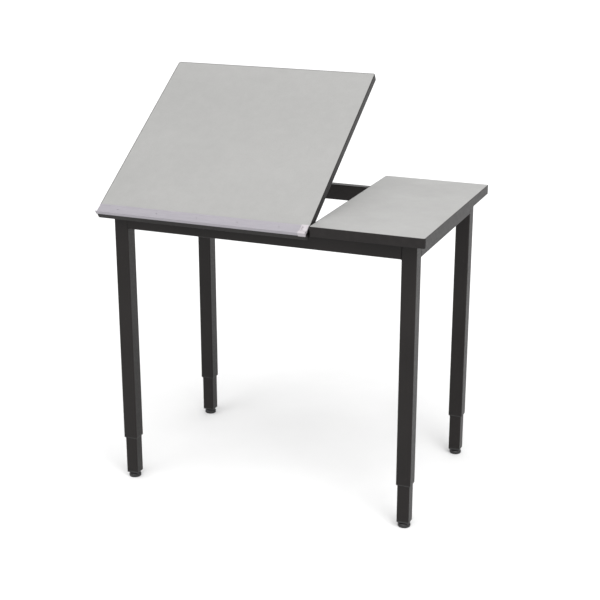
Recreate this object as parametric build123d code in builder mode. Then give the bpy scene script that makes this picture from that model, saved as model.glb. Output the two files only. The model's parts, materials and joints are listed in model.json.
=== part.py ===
"""Split-top drafting table: a tilting drawing board beside a fixed side top, on a
welded steel frame with four telescopic legs.

Frame: +X to the side top, +Y to the back, +Z up, floor at Z = 0, origin under the
middle of the table's own box. The board stands at its working tilt.
"""
from build123d import *
import math
import os

# ---- driving dimensions, millimetres and degrees ----
table_width = 914.0
table_depth = 610.0
table_height = 813.0            # floor to the side top's surface
board_width = 606.0
split_gap = 3.0                 # between the board and the side top
side_thickness = 25.4
board_thickness = 19.0          # thinner, and level with the side top on its bumpers
laminate_thickness = 1.2
backer_thickness = 0.8
edging_thickness = 2.0
tongue_thickness = 2.4          # the edging's barbed tongue, pressed into a sawn slot
tongue_depth = 8.0
edging_round = 0.9
plan_corner = 6.0
board_tilt = 33.0               # working tilt of the board
slot_slope = 3.2                # fall of the support slot towards the back

leg_size = 40.0
leg_wall = 1.6
leg_corner = 3.0
leg_tube_bottom = 127.0
side_overhang = 31.0            # top beyond the legs' outer faces
end_overhang = 36.0             # top beyond the legs' front and back faces
inner_leg_size = 34.0
inner_leg_corner = 3.0
inner_leg_length = 420.0
bush_length = 40.0
bush_flange = 2.0
slide_clearance = 0.1
cap_thickness = 2.0             # the caps on the tubes' top ends
cap_skirt_length = 10.0
cap_skirt_wall = 2.0
cap_skirt_corner = 1.0
lock_rise = 20.0                # lock bolt above the guide bush
nut_height = 6.5
head_height = 5.5
head_cone = 60.0
head_gap = 2.0                  # under the head of a tightened lock bolt

rail_height = 45.0
rail_thickness = 25.0
rail_wall = 1.6
rail_corner = 2.5
cross_rail_inset = 15.0         # in from the side top's inner edge
tab_length = 30.0
tab_width = 22.0
tab_thickness = 3.0
tab_reach_y = 170.0             # tabs before and behind the table's middle
top_screw_radius = 2.5
top_screw_bite = 16.0
pan_head_radius = 5.0
pan_head_height = 3.0
pan_head_round = 1.35
recess_span = 1.1               # the cross recess, as shares of the head's radius
recess_width = 0.28
recess_depth = 0.45
bumper_radius = 6.5
bumper_round = 0.8
bumper_rear_x = (-350.0, -40.0)
bumper_side_reach = 120.0       # bumpers before and behind the table's middle

pad_radius = 17.0
pad_height = 8.0
pad_foot_round = 3.0
pad_top_round = 1.0
disc_radius = 15.5
disc_height = 2.5
disc_round = 1.2
stem_radius = 4.0
stem_top = 50.0
foot_nut_height = 4.5
foot_nut_gap = 0.5
plug_flange = 4.0
plug_depth = 24.0
running_clearance = 0.05
part_clearance = 0.3

hinge_length = 460.0
knuckle_count = 13
knuckle_radius = 2.8
knuckle_lap = 1.4               # leaf beyond its knuckle, to meet the plate
leaf_thickness = 1.6
leaf_width = 26.0
leaf_screw_line = 15.6          # from the hinge axis
hinge_offset = 3.1              # hinge axis to the faces its leaves are screwed to
hinge_pin_radius = 1.5
hinge_screw_count = 7
hinge_screw = (3.6, 1.9)        # radii of head and shank
hinge_board_screw_length = 11.0
hinge_frame_screw_length = 9.0

ledge_depth = 31.0              # flat of the pencil ledge, front to back
ledge_sheet = 1.6
ledge_lip_height = 9.0
ledge_lip_thickness = 2.2
ledge_skirt = 1.5               # how far the ledge hooks down over the board's edge
ledge_bead = 2.6                # height of the bead at the ledge's back
ledge_bead_width = 2.5
ledge_bead_ramp = 1.5
ledge_lip_round = 1.0
ledge_root_round = 2.5
ledge_screw_count = 5
ledge_screw_line = 17.0         # behind the board's front edge
ledge_screw = (3.0, 1.6)
ledge_screw_length = 9.0
end_cap_length = 20.0           # the moulded cap on the ledge's right end
end_cap_proud = 1.0
cap_round = 1.5
cap_crown_depth = 3.0
cap_ramp_foot = (11.0, 4.0)     # where the cap's ramp ends: behind the edge, and up
cap_back_height = 3.4
cap_slot_width = 5.0
cap_slot_length = 15.0
cap_slot_depth = 3.4
cap_slot_round = 1.5
cap_slot_place = (5.5, 17.0)    # from the cap's start and from the board's front edge

support_radius = 240.3          # hinge axis to strut pivot, and strut pivot to foot
strut_pivot_drop = 12.0         # strut pivot below the hinge axis, square to the board
bracket_plate_u = 60.0
bracket_plate_x = 46.0
bracket_plate = 3.0
bracket_screw_u = 21.0
bracket_screw_x = 16.0
bracket_screw = (4.0, 2.2)
bracket_screw_length = 17.0
bracket_corner = 4.0
ear_thickness = 3.0
ear_gap = 0.5                   # between an ear and the strut
ear_root = 1.0
pin_head_radius = 6.0
pin_head = 2.0
strut_width = 18.0
strut_thickness = 8.0
bolt_radius = 4.0
hex_radius = 7.5                # across corners / 2 of an M8 head or nut
track_inner_width = 26.0
track_wall = 3.0
track_top_drop = 4.0            # below the hinge axis
track_height = 37.0
slot_near = 322.0               # the support slot's ends, measured from the hinge axis
slot_far = 490.0
washer_radius = 10.0
washer_thickness = 1.6
spacer_radius = 7.0
knob_radius = 15.0
knob_thickness = 18.0
knob_hub_radius = 9.0
knob_hub_height = 6.0
knob_lobes = 5
knob_lobe_reach = 13.95
knob_lobe_radius = 5.7
knob_round = 2.0
knob_end_wall = 4.0

# ---- levels and places worked out from them ----
tilt = math.radians(board_tilt)
side_width = table_width - board_width - split_gap
board_x = -table_width / 2 + board_width / 2
side_x = table_width / 2 - side_width / 2
rail_top = table_height - side_thickness
rail_bottom = rail_top - rail_height
leg_half = leg_size / 2
axis_back = end_overhang - hinge_offset     # hinge axis behind the board's front edge
axis_drop = board_thickness + hinge_offset  # hinge axis below the board's surface
hinge_z = table_height - axis_drop

# reach of the ledge's end cap in front of the side top at the working tilt
ledge_front = axis_back + ledge_lip_thickness + end_cap_proud
ledge_crown = axis_drop + ledge_lip_height + end_cap_proud
front_reach = (
    (ledge_front - cap_round) * math.cos(tilt)
    + (ledge_crown - cap_round) * math.sin(tilt)
    + cap_round
    - axis_back
)
front_y = (front_reach - table_depth) / 2   # the side top's front edge
rear_y = front_y + table_depth
middle_y = (front_y + rear_y) / 2
hinge_y = front_y + axis_back

leg_x = table_width / 2 - side_overhang - leg_half
leg_front_y = front_y + end_overhang + leg_half
leg_rear_y = rear_y - end_overhang - leg_half
rail_front_y = front_y + end_overhang + rail_thickness / 2
rail_rear_y = rear_y - end_overhang - rail_thickness / 2
rail_side_x = leg_x + leg_half - rail_thickness / 2
rail_inner_front = rail_front_y + rail_thickness / 2
rail_inner_rear = rail_rear_y - rail_thickness / 2
cross_x = side_x - side_width / 2 + cross_rail_inset + rail_thickness / 2
legs = {
    "front_left": (-leg_x, leg_front_y),
    "front_right": (leg_x, leg_front_y),
    "rear_left": (-leg_x, leg_rear_y),
    "rear_right": (leg_x, leg_rear_y),
}
lock_z = leg_tube_bottom + bush_length + lock_rise
inner_leg_bottom = pad_height + disc_height + foot_nut_height + foot_nut_gap + plug_flange

# the strut: its pivot on the board and its foot in the track's slot
slope = math.radians(slot_slope)
pivot_u = math.sqrt(support_radius**2 - strut_pivot_drop**2)
pivot_angle = tilt - math.atan2(strut_pivot_drop, pivot_u)
pivot_y = hinge_y + support_radius * math.cos(pivot_angle)
pivot_z = hinge_z + support_radius * math.sin(pivot_angle)
foot_reach = 2 * support_radius * math.cos(pivot_angle + slope)
foot_y = hinge_y + foot_reach * math.cos(slope)
foot_z = hinge_z - foot_reach * math.sin(slope)


def board_plane(x, u, w):
    """A plane parallel to the board: u is up the board and w out of it, from the axis."""
    y = hinge_y + u * math.cos(tilt) - w * math.sin(tilt)
    z = hinge_z + u * math.sin(tilt) + w * math.cos(tilt)
    return Plane((x, y, z), x_dir=(1, 0, 0), z_dir=(0, -math.sin(tilt), math.cos(tilt)))


def board_section(x, u=0.0, w=0.0):
    """A plane across the board at x, with its own axes along u and w from that point."""
    up_board = (0, math.cos(tilt), math.sin(tilt))
    return Plane(board_plane(x, u, w).origin, x_dir=up_board, z_dir=(1, 0, 0))


def spaced(count, length):
    """Evenly spaced places along a length, half a step in from each end."""
    step = length / count
    return [step * (index + 0.5) - length / 2 for index in range(count)]


def save(part, name):
    part.label = name
    export_step(part, f"parts/{name}.step")


os.makedirs("parts", exist_ok=True)


# ---- fasteners that other pieces are drilled for ----
def flat_head_screws(planes, head_radius, shank_radius, length, recessed=True):
    """Each plane lies on a screw's face and points out of the work."""
    cone = head_radius - shank_radius
    with BuildPart() as screws:
        for plane in planes:
            with BuildSketch(plane):
                Circle(head_radius)
            with BuildSketch(plane.offset(-cone)):
                Circle(shank_radius)
            loft()
            with BuildSketch(plane.offset(-cone)):
                Circle(shank_radius)
            extrude(amount=cone - length)
        if recessed:
            for plane in planes:
                with BuildSketch(plane):
                    Rectangle(head_radius * recess_span, head_radius * recess_width)
                    Rectangle(head_radius * recess_width, head_radius * recess_span)
                extrude(amount=-head_radius * recess_depth, mode=Mode.SUBTRACT)
    return screws.part


def screw_set(name, planes, head_radius, shank_radius, length):
    """Saves one node of screws and returns the solid that bores their holes."""
    save(flat_head_screws(planes, head_radius, shank_radius, length), name)
    return flat_head_screws(planes, head_radius, shank_radius, length, recessed=False)


def face_down(plane):
    """The same plane, pointing the other way."""
    return Plane(plane.origin, x_dir=plane.x_dir, z_dir=-plane.z_dir)


board_leaf_faces = [
    face_down(board_plane(board_x + x, -leaf_screw_line, hinge_offset - leaf_thickness))
    for x in spaced(hinge_screw_count, hinge_length)
]
hinge_board_bores = screw_set(
    "hinge_board_screws", board_leaf_faces, *hinge_screw, hinge_board_screw_length
)

leaf_front = hinge_y + hinge_offset - leaf_thickness
frame_leaf_faces = [
    Plane((board_x + x, leaf_front, hinge_z - leaf_screw_line), x_dir=(1, 0, 0), z_dir=(0, -1, 0))
    for x in spaced(hinge_screw_count, hinge_length)
]
hinge_frame_bores = screw_set(
    "hinge_frame_screws", frame_leaf_faces, *hinge_screw, hinge_frame_screw_length
)

# the ledge runs from the board's left edging to the cap at its right
ledge_length = board_width - 2 * edging_thickness - end_cap_length
ledge_x = board_x - end_cap_length / 2
ledge_faces = [
    board_plane(ledge_x + x, ledge_screw_line - axis_back, axis_drop + ledge_sheet)
    for x in spaced(ledge_screw_count, ledge_length)
]
ledge_bores = screw_set("ledge_screws", ledge_faces, *ledge_screw, ledge_screw_length)

bracket_faces = [
    face_down(board_plane(board_x + dx, pivot_u + du, hinge_offset - bracket_plate))
    for dx in (-bracket_screw_x, bracket_screw_x)
    for du in (-bracket_screw_u, bracket_screw_u)
]
bracket_bores = screw_set("bracket_screws", bracket_faces, *bracket_screw, bracket_screw_length)

tab_places = [
    (x, middle_y + dy)
    for x in (
        rail_side_x - rail_thickness / 2 - tab_width / 2,
        cross_x + rail_thickness / 2 + tab_width / 2,
    )
    for dy in (-tab_reach_y, tab_reach_y)
]
with BuildPart() as top_screws:
    with BuildSketch(Plane.XY.offset(rail_top - tab_thickness - pan_head_height)):
        with Locations(*tab_places):
            Circle(pan_head_radius)
    extrude(amount=pan_head_height)
    fillet(top_screws.edges().group_by(Axis.Z)[0], pan_head_round)
    with BuildSketch(Plane.XY.offset(rail_top - tab_thickness)):
        with Locations(*tab_places):
            Circle(top_screw_radius)
    extrude(amount=tab_thickness + top_screw_bite)
save(top_screws.part, "top_screws")


# ---- edged panels: the drawing board and the side top ----
def panel(name, plane, width, depth, thickness, bores):
    """A laminated panel with T-section edging; plane is the middle of its underside."""
    core_thickness = thickness - laminate_thickness - backer_thickness
    core_width = width - 2 * edging_thickness
    core_depth = depth - 2 * edging_thickness
    core_corner = plan_corner - edging_thickness
    slot_low = thickness / 2 - tongue_thickness / 2
    web_width = core_width - 2 * tongue_depth
    web_depth = core_depth - 2 * tongue_depth

    with BuildPart() as core:
        with BuildSketch(plane.offset(backer_thickness)):
            RectangleRounded(core_width, core_depth, core_corner)
        extrude(amount=core_thickness)
        with BuildSketch(plane.offset(slot_low)):
            RectangleRounded(core_width, core_depth, core_corner)
            Rectangle(web_width, web_depth, mode=Mode.SUBTRACT)
        extrude(amount=tongue_thickness, mode=Mode.SUBTRACT)
        for bore in bores:
            add(bore, mode=Mode.SUBTRACT)
    save(core.part, f"{name}_core")

    with BuildPart() as laminate:
        with BuildSketch(plane.offset(thickness - laminate_thickness)):
            RectangleRounded(core_width, core_depth, core_corner)
        extrude(amount=laminate_thickness)
        for bore in bores:
            add(bore, mode=Mode.SUBTRACT)
    save(laminate.part, f"{name}_laminate")

    with BuildPart() as backer:
        with BuildSketch(plane):
            RectangleRounded(core_width, core_depth, core_corner)
        extrude(amount=backer_thickness)
        for bore in bores:
            add(bore, mode=Mode.SUBTRACT)
    save(backer.part, f"{name}_backer")

    with BuildPart() as band:
        with BuildSketch(plane):
            RectangleRounded(width, depth, plan_corner)
        extrude(amount=thickness)
        fillet(band.faces().sort_by(SortBy.AREA)[-2:].edges(), edging_round)
        with BuildSketch(plane):
            RectangleRounded(core_width, core_depth, core_corner)
        extrude(amount=thickness, mode=Mode.SUBTRACT)
        with BuildSketch(plane.offset(slot_low)):
            RectangleRounded(core_width, core_depth, core_corner)
            Rectangle(web_width, web_depth, mode=Mode.SUBTRACT)
        extrude(amount=tongue_thickness)
    save(band.part, f"{name}_edging")


board_middle_u = table_depth / 2 - axis_back
panel(
    "board",
    board_plane(board_x, board_middle_u, hinge_offset),
    board_width,
    table_depth,
    board_thickness,
    [hinge_board_bores, ledge_bores, bracket_bores],
)
panel(
    "side_top",
    Plane((side_x, middle_y, rail_top)),
    side_width,
    table_depth,
    side_thickness,
    [top_screws.part],
)

# ---- pencil ledge and its end cap, on the board's front edge ----
with BuildPart() as pencil_ledge:
    with BuildSketch(board_section(ledge_x - ledge_length / 2, -axis_back, axis_drop)) as section:
        with BuildLine():
            Polyline(
                (-ledge_lip_thickness, -ledge_skirt),
                (-ledge_lip_thickness, ledge_lip_height),
                (0, ledge_lip_height),
                (0, ledge_sheet),
                (ledge_depth - ledge_bead_width - ledge_bead_ramp, ledge_sheet),
                (ledge_depth - ledge_bead_width, ledge_bead),
                (ledge_depth, ledge_bead),
                (ledge_depth, 0),
                (0, 0),
                (0, -ledge_skirt),
                close=True,
            )
        make_face()
        fillet(section.vertices().sort_by(Axis.Y)[-2:], ledge_lip_round)
        fillet(section.vertices().sort_by_distance((0, ledge_sheet))[0], ledge_root_round)
    extrude(amount=ledge_length)
    add(ledge_bores, mode=Mode.SUBTRACT)
save(pencil_ledge.part, "pencil_ledge")

cap_start = ledge_x + ledge_length / 2
cap_front = -ledge_lip_thickness - end_cap_proud
cap_crown = ledge_lip_height + end_cap_proud
cap_foot = -ledge_skirt - end_cap_proud
with BuildPart() as end_cap:
    with BuildSketch(board_section(cap_start, -axis_back, axis_drop)) as cap_section:
        with BuildLine():
            Polyline(
                (cap_front, cap_foot),
                (cap_front, cap_crown),
                (cap_crown_depth, cap_crown),
                cap_ramp_foot,
                (ledge_depth + end_cap_proud, cap_back_height),
                (ledge_depth + end_cap_proud, 0),
                (0, 0),
                (0, cap_foot),
                close=True,
            )
        make_face()
        fillet(cap_section.vertices().sort_by(Axis.Y)[-2:], cap_round)
    extrude(amount=end_cap_length)
    slot_x = cap_start + cap_slot_place[0]
    slot_u = cap_slot_place[1] - axis_back
    with BuildSketch(board_plane(slot_x, slot_u, axis_drop + ledge_sheet)):
        RectangleRounded(cap_slot_width, cap_slot_length, cap_slot_round)
    extrude(amount=cap_slot_depth, mode=Mode.SUBTRACT)
save(end_cap.part, "ledge_end_cap")

# ---- piano hinge ----
knuckle_pitch = hinge_length / knuckle_count
knuckle_starts = [-hinge_length / 2 + knuckle_pitch * index for index in range(knuckle_count)]
knuckle_length = knuckle_pitch - part_clearance
tab_reach = knuckle_radius + knuckle_lap


def hinge_leaf(name, section_at, way, starts, bore_radius, screw_bores):
    """section_at(x) is a plane across the leaf, its X axis running away from the leaf.

    way is +1 where that plane faces +X and -1 where it faces -X.
    """
    plate_width = leaf_width - knuckle_radius - part_clearance
    plate_middle = -leaf_width + plate_width / 2
    leaf_level = hinge_offset - leaf_thickness / 2
    with BuildPart() as leaf:
        with BuildSketch(section_at(board_x - hinge_length / 2)):
            with Locations((plate_middle, leaf_level)):
                Rectangle(plate_width, leaf_thickness)
        extrude(amount=way * hinge_length)
        for start in starts:
            with BuildSketch(section_at(board_x + start)):
                with Locations((-tab_reach / 2, leaf_level)):
                    Rectangle(tab_reach, leaf_thickness)
                Circle(knuckle_radius)
                Circle(bore_radius, mode=Mode.SUBTRACT)
            extrude(amount=way * knuckle_length)
        add(screw_bores, mode=Mode.SUBTRACT)
    save(leaf.part, name)


def frame_leaf_section(x):
    """The frame's leaf hangs down the rail, so this plane's X axis points up."""
    return Plane((x, hinge_y, hinge_z), x_dir=(0, 0, 1), z_dir=(-1, 0, 0))


hinge_leaf(
    "hinge_board_leaf",
    board_section,
    1,
    knuckle_starts[1::2],
    hinge_pin_radius + running_clearance,
    hinge_board_bores,
)
hinge_leaf(
    "hinge_frame_leaf",
    frame_leaf_section,
    -1,
    knuckle_starts[0::2],
    hinge_pin_radius,
    hinge_frame_bores,
)
with BuildPart() as hinge_pin:
    with BuildSketch(Plane.YZ.offset(board_x - hinge_length / 2)):
        with Locations((hinge_y, hinge_z)):
            Circle(hinge_pin_radius)
    extrude(amount=hinge_length)
save(hinge_pin.part, "hinge_pin")


# ---- welded frame ----
def rail_profile(middle_across, middle_z):
    """The rails' rectangular tube, drawn in the sketch that is open."""
    with Locations((middle_across, middle_z)):
        RectangleRounded(rail_thickness, rail_height, rail_corner)
        RectangleRounded(
            rail_thickness - 2 * rail_wall,
            rail_height - 2 * rail_wall,
            rail_corner - rail_wall,
            mode=Mode.SUBTRACT,
        )


rail_middle_z = (rail_top + rail_bottom) / 2
leg_inner_x = leg_x - leg_half
for name, rail_y, bores in (
    ("front_rail", rail_front_y, [hinge_frame_bores]),
    ("rear_rail", rail_rear_y, []),
):
    with BuildPart() as rail:
        with BuildSketch(Plane.YZ.offset(-leg_inner_x)):
            rail_profile(rail_y, rail_middle_z)
        extrude(amount=2 * leg_inner_x)
        for bore in bores:
            add(bore, mode=Mode.SUBTRACT)
    save(rail.part, name)

for name, rail_x, start, end in (
    ("left_rail", -rail_side_x, leg_front_y + leg_half, leg_rear_y - leg_half),
    ("right_rail", rail_side_x, leg_front_y + leg_half, leg_rear_y - leg_half),
    ("cross_rail", cross_x, rail_inner_front, rail_inner_rear),
):
    with BuildPart() as rail:
        with BuildSketch(Plane.XZ.offset(-start)):
            rail_profile(rail_x, rail_middle_z)
        extrude(amount=start - end)
    save(rail.part, name)

# the track for the strut's foot: a channel, open upwards, with a sloping slot in each flange
track_top = hinge_z - track_top_drop
slot_middle = (slot_near + slot_far) / 2
with BuildPart() as centre_track:
    with BuildSketch(Plane.XZ.offset(-rail_inner_front)):
        with Locations((board_x, track_top)):
            Rectangle(
                track_inner_width + 2 * track_wall, track_height, align=(Align.CENTER, Align.MAX)
            )
            Rectangle(
                track_inner_width,
                track_height - track_wall,
                align=(Align.CENTER, Align.MAX),
                mode=Mode.SUBTRACT,
            )
    extrude(amount=rail_inner_front - rail_inner_rear)
    with BuildSketch(Plane.YZ.offset(board_x - track_inner_width)):
        with Locations(
            (hinge_y + slot_middle * math.cos(slope), hinge_z - slot_middle * math.sin(slope))
        ):
            SlotCenterToCenter(
                slot_far - slot_near,
                2 * (bolt_radius + part_clearance),
                rotation=-slot_slope,
            )
    extrude(amount=2 * track_inner_width, mode=Mode.SUBTRACT)
save(centre_track.part, "centre_track")

with BuildPart() as top_tabs:
    with BuildSketch(Plane.XY.offset(rail_top - tab_thickness)):
        with Locations(*tab_places):
            Rectangle(tab_width, tab_length)
            Circle(top_screw_radius, mode=Mode.SUBTRACT)
    extrude(amount=tab_thickness)
save(top_tabs.part, "top_tabs")

bumper_height = side_thickness - board_thickness - part_clearance
bumper_places = [(x, rail_rear_y) for x in bumper_rear_x] + [
    (-rail_side_x, middle_y - bumper_side_reach),
    (-rail_side_x, middle_y + bumper_side_reach),
]
with BuildPart() as board_bumpers:
    with BuildSketch(Plane.XY.offset(rail_top)):
        with Locations(*bumper_places):
            Circle(bumper_radius)
    extrude(amount=bumper_height)
    fillet(board_bumpers.edges().group_by(Axis.Z)[-1], bumper_round)
save(board_bumpers.part, "board_bumpers")

# ---- telescopic legs ----
tube_top = rail_top - cap_thickness
bore_size = leg_size - 2 * leg_wall
bore_corner = leg_corner - leg_wall
guide_size = inner_leg_size + 2 * slide_clearance
guide_corner = inner_leg_corner + slide_clearance
lock_bore = bolt_radius + running_clearance


def hexagon():
    RegularPolygon(hex_radius, 6)


def hex_head(plane):
    """A hexagonal head standing on the plane, its far corners cut back by a cone."""
    flat_radius = hex_radius * math.cos(math.pi / 6)
    spread = head_height * math.tan(math.radians(head_cone))
    with BuildPart() as head:
        with BuildSketch(plane):
            hexagon()
        extrude(amount=head_height)
        with BuildSketch(plane):
            Circle(flat_radius + spread)
        extrude(amount=head_height, taper=head_cone, mode=Mode.INTERSECT)
    return head.part


with BuildPart() as guide_bushes:
    with BuildSketch(Plane.XY.offset(leg_tube_bottom - bush_flange)):
        with Locations(*legs.values()):
            RectangleRounded(leg_size, leg_size, leg_corner)
            RectangleRounded(guide_size, guide_size, guide_corner, mode=Mode.SUBTRACT)
    extrude(amount=bush_flange)
    with BuildSketch(Plane.XY.offset(leg_tube_bottom)):
        with Locations(*legs.values()):
            RectangleRounded(bore_size, bore_size, bore_corner)
            RectangleRounded(guide_size, guide_size, guide_corner, mode=Mode.SUBTRACT)
    extrude(amount=bush_length)
save(guide_bushes.part, "guide_bushes")

skirt_bore = bore_size - 2 * cap_skirt_wall
with BuildPart() as leg_caps:
    with BuildSketch(Plane.XY.offset(tube_top)):
        with Locations(*legs.values()):
            RectangleRounded(leg_size, leg_size, leg_corner)
    extrude(amount=cap_thickness)
    with BuildSketch(Plane.XY.offset(tube_top)):
        with Locations(*legs.values()):
            RectangleRounded(bore_size, bore_size, bore_corner)
            RectangleRounded(skirt_bore, skirt_bore, cap_skirt_corner, mode=Mode.SUBTRACT)
    extrude(amount=-cap_skirt_length)
save(leg_caps.part, "leg_caps")

with BuildPart() as lock_nuts:
    for leg_place_x, leg_place_y in legs.values():
        with BuildSketch(Plane.XZ.offset(-(leg_place_y + leg_half))):
            with Locations((leg_place_x, lock_z)):
                hexagon()
                Circle(lock_bore, mode=Mode.SUBTRACT)
        extrude(amount=-nut_height)
save(lock_nuts.part, "lock_nuts")

for corner, (x, y) in legs.items():
    back_face = y + leg_half
    with BuildPart() as leg_tube:
        with BuildSketch(Plane.XY.offset(leg_tube_bottom)):
            with Locations((x, y)):
                RectangleRounded(leg_size, leg_size, leg_corner)
                RectangleRounded(bore_size, bore_size, bore_corner, mode=Mode.SUBTRACT)
        extrude(amount=tube_top - leg_tube_bottom)
        with BuildSketch(Plane.XZ.offset(-back_face)):
            with Locations((x, lock_z)):
                Circle(lock_bore)
        extrude(amount=2 * leg_wall, mode=Mode.SUBTRACT)
    save(leg_tube.part, f"leg_tube_{corner}")

    bolt_tip = y + inner_leg_size / 2 + part_clearance
    head_face = back_face + nut_height + head_gap
    bolt_head = hex_head(Plane((x, head_face, lock_z), x_dir=(1, 0, 0), z_dir=(0, 1, 0)))
    with BuildPart() as lock_bolt:
        with BuildSketch(Plane.XZ.offset(-bolt_tip)):
            with Locations((x, lock_z)):
                Circle(bolt_radius)
        extrude(amount=bolt_tip - head_face)
        add(bolt_head)
    save(lock_bolt.part, f"lock_bolt_{corner}")

    with BuildPart() as inner_leg:
        with BuildSketch(Plane.XY.offset(inner_leg_bottom)):
            with Locations((x, y)):
                RectangleRounded(inner_leg_size, inner_leg_size, inner_leg_corner)
                RectangleRounded(
                    inner_leg_size - 2 * leg_wall,
                    inner_leg_size - 2 * leg_wall,
                    inner_leg_corner - leg_wall,
                    mode=Mode.SUBTRACT,
                )
        extrude(amount=inner_leg_length)
    save(inner_leg.part, f"inner_leg_{corner}")

    with BuildPart() as leg_plug:
        with BuildSketch(Plane.XY.offset(inner_leg_bottom - plug_flange)):
            with Locations((x, y)):
                RectangleRounded(inner_leg_size, inner_leg_size, inner_leg_corner)
        extrude(amount=plug_flange)
        with BuildSketch(Plane.XY.offset(inner_leg_bottom)):
            with Locations((x, y)):
                RectangleRounded(
                    inner_leg_size - 2 * leg_wall,
                    inner_leg_size - 2 * leg_wall,
                    inner_leg_corner - leg_wall,
                )
        extrude(amount=plug_depth)
        with BuildSketch(Plane.XY.offset(inner_leg_bottom - plug_flange)):
            with Locations((x, y)):
                Circle(stem_radius + running_clearance)
        extrude(amount=plug_flange + plug_depth, mode=Mode.SUBTRACT)
    save(leg_plug.part, f"leg_plug_{corner}")

    with BuildPart() as foot_stem:
        with BuildSketch(Plane.XY.offset(pad_height)):
            with Locations((x, y)):
                Circle(disc_radius)
        extrude(amount=disc_height)
        fillet(foot_stem.edges().group_by(Axis.Z)[-1], disc_round)
        with BuildSketch(Plane.XY.offset(pad_height + disc_height)):
            with Locations((x, y)):
                hexagon()
        extrude(amount=foot_nut_height)
        with BuildSketch(Plane.XY.offset(pad_height + disc_height)):
            with Locations((x, y)):
                Circle(stem_radius)
        extrude(amount=stem_top - pad_height - disc_height)
    save(foot_stem.part, f"foot_stem_{corner}")

    with BuildPart() as foot_pad:
        with BuildSketch(Plane.XY):
            with Locations((x, y)):
                Circle(pad_radius)
        extrude(amount=pad_height)
        fillet(foot_pad.edges().group_by(Axis.Z)[0], pad_foot_round)
        fillet(foot_pad.edges().group_by(Axis.Z)[-1], pad_top_round)
    save(foot_pad.part, f"foot_pad_{corner}")

# ---- tilt support: bracket and pin on the board, strut, clamp bolt and knob ----
ear_radius = strut_width / 2
ear_inner = strut_thickness / 2 + ear_gap
with BuildPart() as strut_bracket:
    with BuildSketch(board_plane(board_x, pivot_u, hinge_offset - bracket_plate)):
        RectangleRounded(bracket_plate_x, bracket_plate_u, bracket_corner)
    extrude(amount=bracket_plate)
    for ear_x in (-ear_inner - ear_thickness, ear_inner):
        with BuildSketch(board_section(board_x + ear_x, pivot_u, -strut_pivot_drop)):
            Circle(ear_radius)
            Rectangle(
                2 * ear_radius, strut_pivot_drop + ear_root, align=(Align.CENTER, Align.MIN)
            )
            Circle(bolt_radius, mode=Mode.SUBTRACT)
        extrude(amount=ear_thickness)
    add(bracket_bores, mode=Mode.SUBTRACT)
save(strut_bracket.part, "strut_bracket")

ear_outer = ear_inner + ear_thickness
with BuildPart() as strut_pivot_pin:
    with BuildSketch(board_section(board_x - ear_outer, pivot_u, -strut_pivot_drop)):
        Circle(bolt_radius)
    extrude(amount=2 * ear_outer)
    for head_x in (-ear_outer - pin_head, ear_outer):
        with BuildSketch(board_section(board_x + head_x, pivot_u, -strut_pivot_drop)):
            Circle(pin_head_radius)
        extrude(amount=pin_head)
save(strut_pivot_pin.part, "strut_pivot_pin")

strut_angle = -math.degrees(pivot_angle + 2 * slope)
with BuildPart() as strut:
    with BuildSketch(Plane.YZ.offset(board_x - strut_thickness / 2)):
        with Locations(((pivot_y + foot_y) / 2, (pivot_z + foot_z) / 2)):
            SlotCenterToCenter(support_radius, strut_width, rotation=strut_angle)
        with Locations((pivot_y, pivot_z)):
            Circle(bolt_radius + running_clearance, mode=Mode.SUBTRACT)
        with Locations((foot_y, foot_z)):
            Circle(bolt_radius, mode=Mode.SUBTRACT)
    extrude(amount=strut_thickness)
save(strut.part, "strut")


def foot_sketch_plane(across):
    """A plane facing +X with its middle on the clamp bolt, across from the strut's middle."""
    return Plane((board_x + across, foot_y, foot_z), x_dir=(0, 1, 0), z_dir=(1, 0, 0))


flange_outer = track_inner_width / 2 + track_wall
washer_inner = flange_outer + part_clearance
washer_outer = washer_inner + washer_thickness
knob_face = washer_outer + part_clearance
bolt_end = knob_face + knob_thickness - knob_end_wall
clamp_head = hex_head(foot_sketch_plane(washer_outer))
with BuildPart() as clamp_bolt:
    with BuildSketch(foot_sketch_plane(-bolt_end)):
        Circle(bolt_radius)
    extrude(amount=bolt_end + washer_outer)
    add(clamp_head)
save(clamp_bolt.part, "clamp_bolt")

spacer_length = track_inner_width / 2 - part_clearance - strut_thickness / 2
with BuildPart() as clamp_washers:
    for start in (-washer_outer, washer_inner):
        with BuildSketch(foot_sketch_plane(start)):
            Circle(washer_radius)
            Circle(bolt_radius, mode=Mode.SUBTRACT)
        extrude(amount=washer_thickness)
    for start in (-strut_thickness / 2 - spacer_length, strut_thickness / 2):
        with BuildSketch(foot_sketch_plane(start)):
            Circle(spacer_radius)
            Circle(bolt_radius, mode=Mode.SUBTRACT)
        extrude(amount=spacer_length)
save(clamp_washers.part, "clamp_washers")

with BuildPart() as clamp_knob:
    with BuildSketch(foot_sketch_plane(-knob_face)):
        Circle(knob_hub_radius)
    extrude(amount=-knob_hub_height)
    with BuildSketch(foot_sketch_plane(-knob_face - knob_hub_height)):
        Circle(knob_radius)
        with PolarLocations(knob_lobe_reach, knob_lobes):
            Circle(knob_lobe_radius)
    extrude(amount=knob_hub_height - knob_thickness)
    fillet(clamp_knob.faces().sort_by(Axis.X)[0].outer_wire().edges(), knob_round)
    with BuildSketch(foot_sketch_plane(-knob_face)):
        Circle(bolt_radius + running_clearance)
    extrude(amount=-(bolt_end - knob_face + part_clearance), mode=Mode.SUBTRACT)
save(clamp_knob.part, "clamp_knob")

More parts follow.
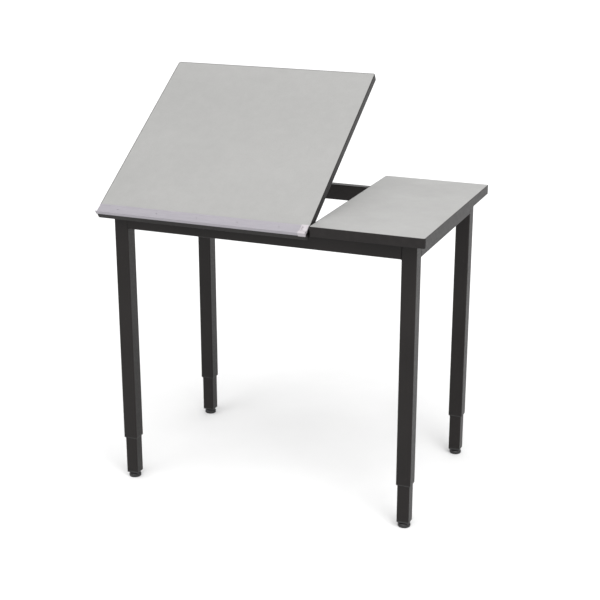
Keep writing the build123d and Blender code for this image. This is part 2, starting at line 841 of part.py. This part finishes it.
print(f"hinge axis y {hinge_y:.3f} z {hinge_z:.3f}")
print(f"strut pivot y {pivot_y:.3f} z {pivot_z:.3f}, foot y {foot_y:.3f} z {foot_z:.3f}")
print(f"leg centres x {leg_x:.3f}, y {leg_front_y:.3f} and {leg_rear_y:.3f}")
print(f"side top front {front_y:.3f} rear {rear_y:.3f}, board x {board_x:.3f}, side x {side_x:.3f}")
print(f"lock bolts z {lock_z:.3f}")
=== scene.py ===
"""Looks of a split-top drafting table: camera, light, floor and materials around its CAD frame."""

import json
import math

import bmesh
import bpy
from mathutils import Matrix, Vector


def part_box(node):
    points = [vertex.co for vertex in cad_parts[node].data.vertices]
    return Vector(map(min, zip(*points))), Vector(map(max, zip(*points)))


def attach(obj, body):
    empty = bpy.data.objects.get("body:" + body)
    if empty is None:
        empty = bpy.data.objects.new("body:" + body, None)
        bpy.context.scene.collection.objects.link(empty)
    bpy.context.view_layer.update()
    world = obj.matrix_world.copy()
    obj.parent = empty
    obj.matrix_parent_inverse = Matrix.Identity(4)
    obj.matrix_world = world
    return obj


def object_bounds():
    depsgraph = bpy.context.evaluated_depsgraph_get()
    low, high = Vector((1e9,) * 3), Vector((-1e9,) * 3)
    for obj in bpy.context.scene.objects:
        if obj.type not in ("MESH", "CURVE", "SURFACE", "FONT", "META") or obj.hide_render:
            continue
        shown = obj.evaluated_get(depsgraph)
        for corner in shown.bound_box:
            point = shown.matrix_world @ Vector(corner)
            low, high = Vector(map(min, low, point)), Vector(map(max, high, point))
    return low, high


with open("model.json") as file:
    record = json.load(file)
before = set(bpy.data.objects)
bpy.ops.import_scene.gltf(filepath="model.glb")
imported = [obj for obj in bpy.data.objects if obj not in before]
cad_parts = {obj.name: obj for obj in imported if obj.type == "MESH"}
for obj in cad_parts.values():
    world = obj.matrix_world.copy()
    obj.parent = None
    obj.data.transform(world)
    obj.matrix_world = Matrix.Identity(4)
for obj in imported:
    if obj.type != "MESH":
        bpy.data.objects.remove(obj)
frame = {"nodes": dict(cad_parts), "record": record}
cad_low, cad_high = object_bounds()

# ---- camera: the view over the table's front right corner ----
CAMERA_AZIMUTH = math.radians(22.12)
CAMERA_DOWN = math.radians(18.4)
CAMERA_DISTANCE = 3.70
CAMERA_TARGET = Vector((0.020, -0.029, 0.520))
CAMERA_LENS = 79.6  # millimetres, as is the sensor's width
CAMERA_SENSOR = 36.0
CAMERA_CLIP = 200.0

# ---- light ----
WORLD_STRENGTH = 1.0
SUN_STRENGTH = 2.4
SUN_ANGLE = math.radians(75)
SUN_DIRECTION = Vector((-0.25, 0.7, -1.0))
AREA_LIGHTS = (  # name, place, diameter in metres, watts
    ("key", (2.0, -1.7, 2.5), 1.6, 26),
    ("back", (-0.6, 3.2, 2.6), 2.5, 8),
)
FLOOR_SIZE = 80.0

# ---- weld beads, metres ----
BEAD_RADIUS = 0.0024
BEAD_ROOT = 0.0003
BEAD_STEP = 0.0011
BEAD_RIPPLE = 0.0042  # from one ripple to the next
BEAD_RIPPLE_DEPTH = 0.14  # share of the radius
BEAD_START = 0.45  # share of the radius at either end
BEAD_SWELL = 6.0  # how soon a bead comes to its full radius
BEAD_ARC = 5
TAB_BEAD = (0.004, 0.026)  # from a tab's end
TUBE_CORNER = 0.0025


# ---------------------------------------------------------------- camera and stage
def place_camera():
    back = Vector((
        math.sin(CAMERA_AZIMUTH) * math.cos(CAMERA_DOWN),
        -math.cos(CAMERA_AZIMUTH) * math.cos(CAMERA_DOWN),
        math.sin(CAMERA_DOWN),
    ))
    camera = bpy.data.objects.new("camera", bpy.data.cameras.new("camera"))
    camera.data.sensor_width = CAMERA_SENSOR
    camera.data.lens = CAMERA_LENS
    camera.data.clip_end = CAMERA_CLIP
    camera.location = CAMERA_TARGET + back * CAMERA_DISTANCE
    camera.rotation_mode = "QUATERNION"
    camera.rotation_quaternion = (-back).to_track_quat("-Z", "Y")
    bpy.context.scene.collection.objects.link(camera)
    bpy.context.scene.camera = camera


def hang_light(light, direction, place=(0, 0, 0)):
    lamp = bpy.data.objects.new(light.name, light)
    lamp.location = place
    lamp.rotation_mode = "QUATERNION"
    lamp.rotation_quaternion = direction.to_track_quat("-Z", "Y")
    bpy.context.scene.collection.objects.link(lamp)


def light_stage():
    """An even white sky, a broad soft sun over the front, and two large soft lamps."""
    world = bpy.data.worlds.new("studio")
    world.use_nodes = True
    sky = world.node_tree.nodes["Background"]
    sky.inputs["Color"].default_value = (1.0, 1.0, 1.0, 1.0)
    sky.inputs["Strength"].default_value = WORLD_STRENGTH
    bpy.context.scene.world = world
    middle = (cad_low + cad_high) / 2
    for name, place, diameter, watts in AREA_LIGHTS:
        light = bpy.data.lights.new(name, "AREA")
        light.shape = "DISK"
        light.size = diameter
        light.energy = watts
        hang_light(light, middle - Vector(place), place)
    sun = bpy.data.lights.new("sky_panel", "SUN")
    sun.energy = SUN_STRENGTH
    sun.angle = SUN_ANGLE
    hang_light(sun, SUN_DIRECTION)
    bpy.context.scene.view_settings.view_transform = "Standard"


def floor():
    """A wide, plain, pale floor, which the light takes to white."""
    mesh = bpy.data.meshes.new("floor")
    edit = bmesh.new()
    bmesh.ops.create_grid(edit, x_segments=1, y_segments=1, size=FLOOR_SIZE / 2)
    edit.to_mesh(mesh)
    edit.free()
    ground = bpy.data.objects.new("floor", mesh)
    bpy.context.scene.collection.objects.link(ground)
    recipe = Recipe("pale_floor")
    tone = recipe.ramp(recipe.noise(3.0), [(0.3, (0.70, 0.70, 0.70)), (0.7, (0.73, 0.73, 0.73))])
    recipe.feed("Base Color", tone)
    recipe.set("Roughness", 0.9)
    recipe.set("Specular IOR Level", 0.1)
    ground.data.materials.append(recipe.material)


# ---------------------------------------------------------------- material recipes
class Recipe:
    """One procedural material, built on a Principled shader in the row frame's coordinates."""

    def __init__(self, name):
        self.material = bpy.data.materials.new(name)
        self.material.use_nodes = True
        self.tree = self.material.node_tree
        self.shader = self.tree.nodes["Principled BSDF"]
        self.place = self.tree.nodes.new("ShaderNodeTexCoord").outputs["Object"]

    def node(self, kind, **settings):
        made = self.tree.nodes.new(kind)
        for key, value in settings.items():
            setattr(made, key, value)
        return made

    def join(self, output, socket):
        self.tree.links.new(output, socket)

    def set(self, name, value):
        self.shader.inputs[name].default_value = value

    def feed(self, name, output):
        self.join(output, self.shader.inputs[name])

    def stretched(self, scale):
        mapping = self.node("ShaderNodeMapping")
        mapping.inputs["Scale"].default_value = scale
        self.join(self.place, mapping.inputs["Vector"])
        return mapping.outputs["Vector"]

    def noise(self, scale, detail=3.0, rough=0.55, stretch=None):
        texture = self.node("ShaderNodeTexNoise")
        texture.inputs["Scale"].default_value = scale
        texture.inputs["Detail"].default_value = detail
        texture.inputs["Roughness"].default_value = rough
        self.join(self.stretched(stretch) if stretch else self.place, texture.inputs["Vector"])
        return texture.outputs["Fac"]

    def cells(self, scale, stretch=None, output="Distance"):
        texture = self.node("ShaderNodeTexVoronoi")
        texture.inputs["Scale"].default_value = scale
        self.join(self.stretched(stretch) if stretch else self.place, texture.inputs["Vector"])
        return texture.outputs[output]

    def ramp(self, factor, stops):
        """Colours or greys along factor, at the given (position, colour) stops."""
        table = self.node("ShaderNodeValToRGB")
        band = table.color_ramp
        while len(band.elements) < len(stops):
            band.elements.new(0.5)
        for element, (position, colour) in zip(band.elements, stops):
            element.position = position
            shade = colour if hasattr(colour, "__len__") else (colour,) * 3
            element.color = (*shade, 1.0)
        self.join(factor, table.inputs["Fac"])
        return table.outputs["Color"]

    def mix(self, factor, first, second, blend="MIX"):
        mixer = self.node("ShaderNodeMix", data_type="RGBA", blend_type=blend)
        factor_socket, a_socket, b_socket = mixer.inputs[0], mixer.inputs[6], mixer.inputs[7]
        for value, socket in ((factor, factor_socket), (first, a_socket), (second, b_socket)):
            if isinstance(value, bpy.types.NodeSocket):
                self.join(value, socket)
            elif hasattr(value, "__len__"):
                socket.default_value = (*value, 1.0)
            else:
                socket.default_value = value
        return mixer.outputs[2]

    def bump(self, height, strength, distance, under=None):
        made = self.node("ShaderNodeBump")
        made.inputs["Strength"].default_value = strength
        made.inputs["Distance"].default_value = distance
        self.join(height, made.inputs["Height"])
        if under is not None:
            self.join(under, made.inputs["Normal"])
        return made.outputs["Normal"]

    def eased_edges(self, radius):
        """Normals that turn softly over sharp edges, which then catch a line of light."""
        made = self.node("ShaderNodeBevel", samples=4)
        made.inputs["Radius"].default_value = radius
        return made.outputs["Normal"]


def grey_laminate():
    """High-pressure laminate: pale grey, faintly clouded and mottled, with a fine pebbled grain."""
    r = Recipe("grey_laminate")
    cloud = r.ramp(r.noise(2.6, 2.0), [(0.3, (0.262, 0.261, 0.255)), (0.7, (0.281, 0.279, 0.273))])
    mottle = r.ramp(r.noise(34.0, 5.0, 0.65), [(0.32, (0.95, 0.95, 0.95)), (0.68, (1.0, 1.0, 1.0))])
    cloud = r.mix(1.0, cloud, mottle, "MULTIPLY")
    fleck = r.ramp(r.noise(900.0, 2.0), [(0.38, (0.86, 0.86, 0.86)), (0.6, (1.0, 1.0, 1.0))])
    r.feed("Base Color", r.mix(0.55, cloud, fleck, "MULTIPLY"))
    r.feed("Roughness", r.ramp(r.noise(7.0, 4.0), [(0.3, 0.44), (0.72, 0.56)]))
    r.set("Specular IOR Level", 0.45)
    r.feed("Normal", r.bump(r.noise(1400.0, 2.0), 0.12, 0.0004))
    return r.material


def backing_sheet():
    """The phenolic balancing sheet on a panel's underside, with fine sanding lines along it."""
    r = Recipe("backing_sheet")
    sanding = r.noise(46.0, 5.0, 0.72, stretch=(0.5, 26.0, 26.0))
    r.feed("Base Color", r.ramp(sanding, [(0.3, (0.040, 0.031, 0.025)), (0.75, (0.066, 0.052, 0.042))]))
    r.feed("Roughness", r.ramp(r.noise(90.0, 4.0), [(0.3, 0.55), (0.7, 0.7)]))
    r.set("Specular IOR Level", 0.3)
    r.feed("Normal", r.bump(sanding, 0.25, 0.0003))
    return r.material


def panel_core():
    """Particle board: pressed chips of several browns."""
    r = Recipe("panel_core")
    chips = r.cells(420.0, stretch=(1.0, 1.0, 2.4), output="Color")
    tint = r.ramp(chips, [(0.1, (0.24, 0.15, 0.08)), (0.5, (0.46, 0.33, 0.19)), (0.9, (0.62, 0.48, 0.31))])
    r.feed("Base Color", tint)
    r.set("Roughness", 0.86)
    r.feed("Normal", r.bump(r.cells(420.0, stretch=(1.0, 1.0, 2.4)), 0.5, 0.0006))
    return r.material


def black_edging():
    """Vinyl edging: satin black, with a fine moulded texture and slightly paler rubbed spots."""
    r = Recipe("black_edging")
    spots = r.noise(60.0, 5.0, 0.6)
    rubbed = r.ramp(spots, [(0.45, (0.0085, 0.0072, 0.0070)), (0.85, (0.014, 0.012, 0.0115))])
    r.feed("Base Color", rubbed)
    r.feed("Roughness", r.ramp(r.noise(90.0, 4.0), [(0.3, 0.40), (0.75, 0.48)]))
    r.set("Specular IOR Level", 0.22)
    r.feed("Normal", r.bump(r.noise(1500.0, 2.0), 0.25, 0.0003))
    return r.material


def powder_coat():
    """Black powder coat with a warm tint: orange peel, uneven gloss, dust and rubbed spots."""
    r = Recipe("powder_coat")
    tone = r.ramp(r.noise(5.0, 4.0), [(0.3, (0.0062, 0.0050, 0.0046)), (0.75, (0.0102, 0.0084, 0.0079))])
    dust = r.ramp(r.noise(110.0, 4.0, 0.7), [(0.60, 0.0), (0.80, 0.5)])
    r.feed("Base Color", r.mix(dust, tone, (0.025, 0.022, 0.021)))
    r.feed("Roughness", r.ramp(r.noise(260.0, 3.0), [(0.3, 0.34), (0.75, 0.54)]))
    r.set("Specular IOR Level", 0.22)
    peel = r.bump(r.noise(650.0, 2.0), 0.3, 0.0005, under=r.eased_edges(0.0008))
    r.feed("Normal", r.bump(r.noise(2100.0, 1.0), 0.2, 0.0002, under=peel))
    return r.material


def zinc_plate():
    """Bright zinc: cold and warm patches, a fine spangle and dulled spots."""
    r = Recipe("zinc_plate")
    tint = r.ramp(r.noise(60.0, 3.0), [(0.3, (0.56, 0.57, 0.60)), (0.7, (0.70, 0.68, 0.62))])
    r.feed("Base Color", tint)
    r.set("Metallic", 1.0)
    r.feed("Roughness", r.ramp(r.noise(240.0, 4.0), [(0.3, 0.24), (0.75, 0.42)]))
    r.feed("Normal", r.bump(r.cells(900.0), 0.1, 0.0002, under=r.eased_edges(0.0004)))
    return r.material


def black_zinc():
    """Black zinc plate on the feet: near black, with a dull sheen and rubbed grey patches."""
    r = Recipe("black_zinc")
    tone = r.ramp(r.noise(80.0, 4.0), [(0.4, (0.045, 0.044, 0.046)), (0.8, (0.13, 0.125, 0.125))])
    r.feed("Base Color", tone)
    r.set("Metallic", 0.85)
    r.feed("Roughness", r.ramp(r.noise(200.0, 3.0), [(0.3, 0.34), (0.75, 0.5)]))
    r.feed("Normal", r.bump(r.cells(900.0), 0.1, 0.0002))
    return r.material


def strut_paint():
    """The strut's thinner black paint over drawn bar, with draw lines along its length."""
    r = Recipe("strut_paint")
    lines = r.noise(90.0, 3.0, stretch=(14.0, 1.0, 1.0))
    r.feed("Base Color", r.ramp(lines, [(0.3, (0.018, 0.018, 0.019)), (0.8, (0.045, 0.045, 0.047))]))
    r.feed("Roughness", r.ramp(r.noise(45.0), [(0.3, 0.32), (0.7, 0.46)]))
    r.feed("Normal", r.bump(lines, 0.2, 0.0004, under=r.eased_edges(0.0006)))
    return r.material


def moulded_nylon():
    """Black nylon with the matt spark texture of its mould and paler handling marks."""
    r = Recipe("moulded_nylon")
    tone = r.ramp(r.noise(70.0, 4.0), [(0.4, (0.009, 0.009, 0.009)), (0.8, (0.022, 0.021, 0.021))])
    r.feed("Base Color", tone)
    r.feed("Roughness", r.ramp(r.noise(130.0), [(0.3, 0.5), (0.7, 0.66)]))
    r.feed("Normal", r.bump(r.noise(1100.0, 2.0), 0.4, 0.0005, under=r.eased_edges(0.0005)))
    return r.material


def bumper_rubber():
    """Matt black rubber with a faint pale bloom."""
    r = Recipe("bumper_rubber")
    tone = r.ramp(r.noise(150.0), [(0.3, (0.014, 0.014, 0.014)), (0.7, (0.028, 0.028, 0.029))])
    r.feed("Base Color", tone)
    r.feed("Roughness", r.ramp(r.noise(300.0), [(0.3, 0.72), (0.7, 0.88)]))
    r.feed("Normal", r.bump(r.noise(1200.0), 0.25, 0.0003))
    return r.material


def ledge_aluminium():
    """Anodised extrusion: satin, faintly lilac, with die lines running along the ledge."""
    r = Recipe("ledge_aluminium")
    lines = r.noise(40.0, 4.0, 0.65, stretch=(0.6, 40.0, 40.0))
    r.feed("Base Color", r.ramp(lines, [(0.3, (0.258, 0.246, 0.270)), (0.7, (0.318, 0.302, 0.330))]))
    r.set("Metallic", 0.35)
    r.feed("Roughness", r.ramp(r.noise(18.0, 4.0), [(0.3, 0.36), (0.72, 0.48)]))
    r.feed("Normal", r.bump(lines, 0.1, 0.0003))
    return r.material


def cap_plastic():
    """The grey moulded end cap, a shade lighter than the ledge."""
    r = Recipe("cap_plastic")
    tone = r.ramp(r.noise(90.0, 3.0), [(0.3, (0.335, 0.312, 0.330)), (0.7, (0.395, 0.370, 0.388))])
    r.feed("Base Color", tone)
    r.feed("Roughness", r.ramp(r.noise(160.0), [(0.3, 0.4), (0.7, 0.54)]))
    r.feed("Normal", r.bump(r.noise(1300.0), 0.15, 0.0003))
    return r.material


# ---------------------------------------------------------------- CAD nodes
def dress_nodes():
    """Gives every CAD node the material of its slot in the record."""
    made = {
        "grey_laminate": grey_laminate(),
        "backing_sheet": backing_sheet(),
        "panel_core": panel_core(),
        "black_edging": black_edging(),
        "frame_powder_coat": powder_coat(),
        "zinc_steel": zinc_plate(),
        "black_zinc": black_zinc(),
        "strut_steel": strut_paint(),
        "black_nylon": moulded_nylon(),
        "bumper_rubber": bumper_rubber(),
        "ledge_aluminium": ledge_aluminium(),
        "grey_cap_plastic": cap_plastic(),
    }
    slots = {row["node"]: row["material_slot"] for row in frame["record"]["subparts"]}
    for name, node in frame["nodes"].items():
        node.data.materials.clear()
        node.data.materials.append(made[slots[name]])
    return made


# ---------------------------------------------------------------- weld beads
def add_bead(edit, start, end, across, along):
    """A rippled fillet of weld in the corner between two faces, from start to end.

    across and along point away from the corner, each lying in one of the faces.
    """
    run = end - start
    rings = max(4, round(run.length / BEAD_STEP))
    loops = []
    for index in range(rings + 1):
        part = index / rings
        ripple = 0.5 - 0.5 * math.cos(2 * math.pi * part * run.length / BEAD_RIPPLE)
        taper = min(1.0, BEAD_START + BEAD_SWELL * min(part, 1.0 - part))
        radius = BEAD_RADIUS * taper * (1.0 - BEAD_RIPPLE_DEPTH * (1.0 - ripple))
        middle = start + run * part
        points = [middle - (across + along) * BEAD_ROOT]
        for step in range(BEAD_ARC + 1):
            turn = math.pi / 2 * step / BEAD_ARC
            reach = across * math.cos(turn) + along * math.sin(turn)
            points.append(middle + reach * radius)
        loops.append([edit.verts.new(point) for point in points])
    count = len(loops[0])
    for first, second in zip(loops, loops[1:]):
        for index in range(count):
            after = (index + 1) % count
            edit.faces.new((first[index], first[after], second[after], second[index]))
    edit.faces.new(loops[0])
    edit.faces.new(reversed(loops[-1]))


def end_beads(edit, rail, axis, sides, underneath=True):
    """Beads at both ends of a rail that runs along axis, on its sides and underneath.

    sides gives the directions, across the rail, of the faces that are welded.
    """
    low, high = (Vector(corner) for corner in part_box(rail))
    flat_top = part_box("front_rail")[1][2] - TUBE_CORNER
    other = 1 - axis
    down = Vector((0, 0, -1))
    for sign, station in ((1, low[axis]), (-1, high[axis])):
        inward = Vector((0, 0, 0))
        inward[axis] = sign
        for side in sides:
            out = Vector((0, 0, 0))
            out[other] = side
            foot = Vector((0, 0, 0))
            foot[axis] = station
            foot[other] = high[other] if side > 0 else low[other]
            top = foot.copy()
            foot.z = low.z + TUBE_CORNER
            top.z = min(high.z, flat_top) - BEAD_RADIUS
            add_bead(edit, foot, top, inward, out)
        if not underneath:
            continue
        near = Vector((0, 0, low.z))
        near[axis] = station
        far = near.copy()
        near[other] = low[other] + TUBE_CORNER
        far[other] = high[other] - TUBE_CORNER
        add_bead(edit, near, far, inward, down)


def tab_beads(edit):
    """A short bead under each welded tab, along the rail that it is welded to."""
    tabs_low, tabs_high = (Vector(corner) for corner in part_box("top_tabs"))
    for wall_x, way in ((tabs_low.x, 1), (tabs_high.x, -1)):
        for end_y, back in ((tabs_low.y, 1), (tabs_high.y, -1)):
            start = Vector((wall_x, end_y + back * TAB_BEAD[0], tabs_low.z))
            end = Vector((wall_x, end_y + back * TAB_BEAD[1], tabs_low.z))
            add_bead(edit, start, end, Vector((way, 0, 0)), Vector((0, 0, -1)))


def weld_beads(coat):
    """Every bead of the welded frame, in one mesh that rides on the table's frame."""
    mesh = bpy.data.meshes.new("weld_beads")
    edit = bmesh.new()
    end_beads(edit, "front_rail", 0, (1,))
    end_beads(edit, "rear_rail", 0, (-1,))
    end_beads(edit, "left_rail", 1, (1,))
    end_beads(edit, "right_rail", 1, (-1,))
    end_beads(edit, "cross_rail", 1, (-1, 1), underneath=False)
    end_beads(edit, "centre_track", 1, (-1, 1))
    tab_beads(edit)
    bmesh.ops.recalc_face_normals(edit, faces=edit.faces)
    for face in edit.faces:
        face.smooth = True
    edit.to_mesh(mesh)
    edit.free()
    beads = bpy.data.objects.new("weld_beads", mesh)
    bpy.context.scene.collection.objects.link(beads)
    beads.data.materials.append(coat)
    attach(beads, "table_frame")


place_camera()
light_stage()
floor()
finishes = dress_nodes()
weld_beads(finishes["frame_powder_coat"])
